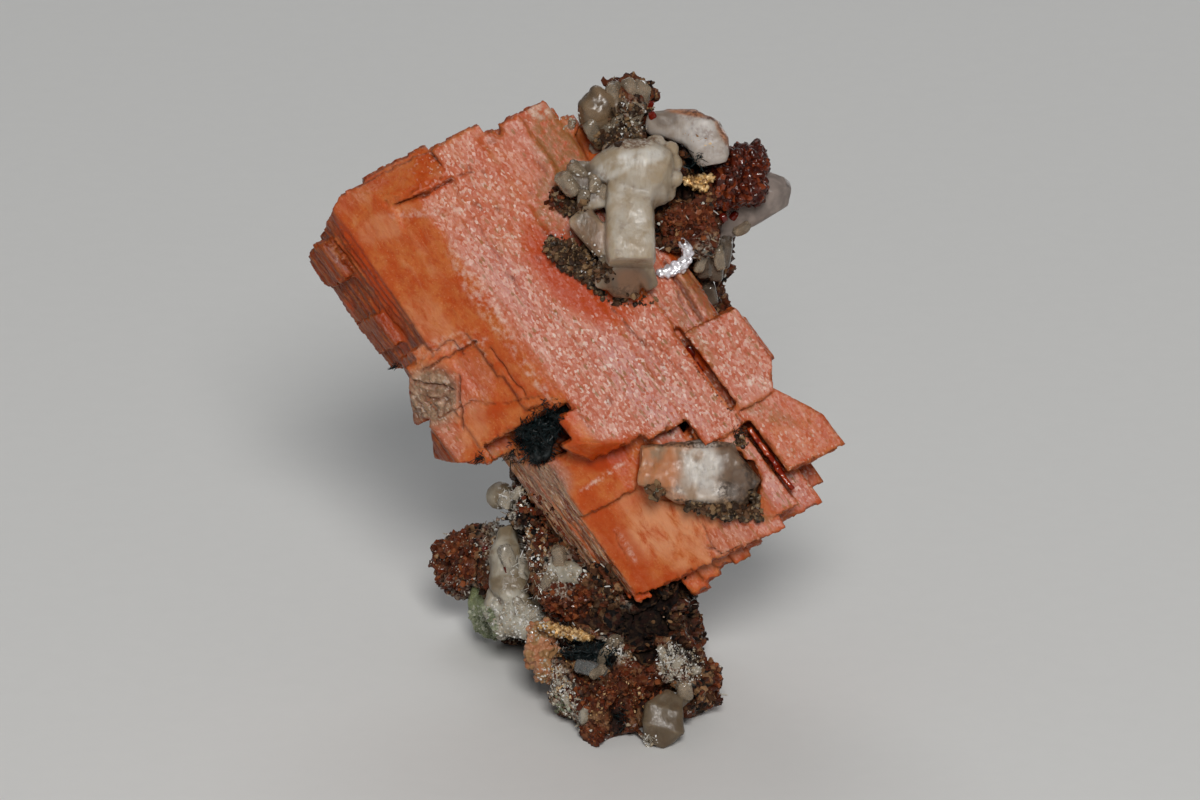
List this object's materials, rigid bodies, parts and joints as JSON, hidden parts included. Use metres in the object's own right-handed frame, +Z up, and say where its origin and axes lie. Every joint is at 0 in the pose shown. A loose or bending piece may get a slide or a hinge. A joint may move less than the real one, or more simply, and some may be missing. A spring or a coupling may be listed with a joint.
{
  "type": "serandite with natrolite mineral specimen",
  "caption": "Stepped group of salmon-orange serandite blades leaning on a granular brown rock foot, with a cluster of milky natrolite prisms at the upper right.",
  "frame": {"origin": "on the surface that the specimen rests on, under the middle of its box", "axes": "+Z up; the broad pink face and the milky cluster look towards -Y; the crystals' upper end is on the -X side"},
  "size_m": [0.065, 0.0476, 0.0766],
  "materials": {
    "serandite": "silky, frosted pink on the broad face and glassy orange on the bevel faces",
    "red_serandite": "glassy red-brown, granular",
    "matrix": "granular, dull with small white glints",
    "natrolite": "milky, vitreous to satin",
    "grey_natrolite": "cloudy grey-tan, vitreous",
    "green_mineral": "granular, crystalline",
    "aegirine": "black, splendent needles",
    "gold_mineral": "golden brown, satin"
  },
  "bodies": {
    "root": {"serandite_crystals": "serandite", "matrix": "matrix", "natrolite_top": "natrolite", "natrolite_arm": "natrolite", "natrolite_far_right": "natrolite", "natrolite_knob": "grey_natrolite", "red_serandite": "red_serandite", "grey_crystals": "grey_natrolite", "natrolite_embedded": "natrolite", "natrolite_foot": "natrolite", "natrolite_foot_tan": "grey_natrolite", "natrolite_bead": "grey_natrolite", "green_lump": "green_mineral", "pink_chip": "serandite", "clear_chip": "grey_natrolite", "gold_strip": "gold_mineral", "aegirine_needles": "aegirine", "aegirine_foot": "aegirine", "slit_crystals": "red_serandite", "red_blade": "red_serandite"}
  },
  "joints": []
}
